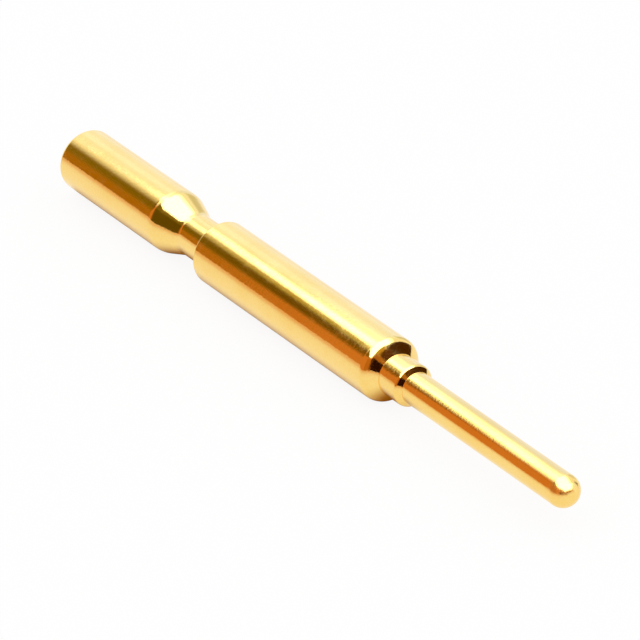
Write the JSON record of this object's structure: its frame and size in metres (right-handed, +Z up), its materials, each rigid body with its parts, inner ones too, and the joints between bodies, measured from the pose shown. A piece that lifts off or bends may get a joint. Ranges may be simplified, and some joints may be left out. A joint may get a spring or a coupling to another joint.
{
  "type": "crimp contact pin",
  "caption": "Turned, gold-plated crimp contact: slim mating pin with a half-round tip, collar, cylindrical body, latch neck and a blind crimp barrel for a stripped wire.",
  "frame": {"origin": "on the axis, where the mating pin leaves the collar's front face", "axes": "+X along the axis and out of the mating tip, +Z up with the contact lying level"},
  "size_m": [0.0259, 0.002, 0.002],
  "materials": {
    "gold_plating": "bright gold plating over fine turning marks"
  },
  "bodies": {
    "root": {"contact_pin": "gold_plating"}
  },
  "joints": []
}
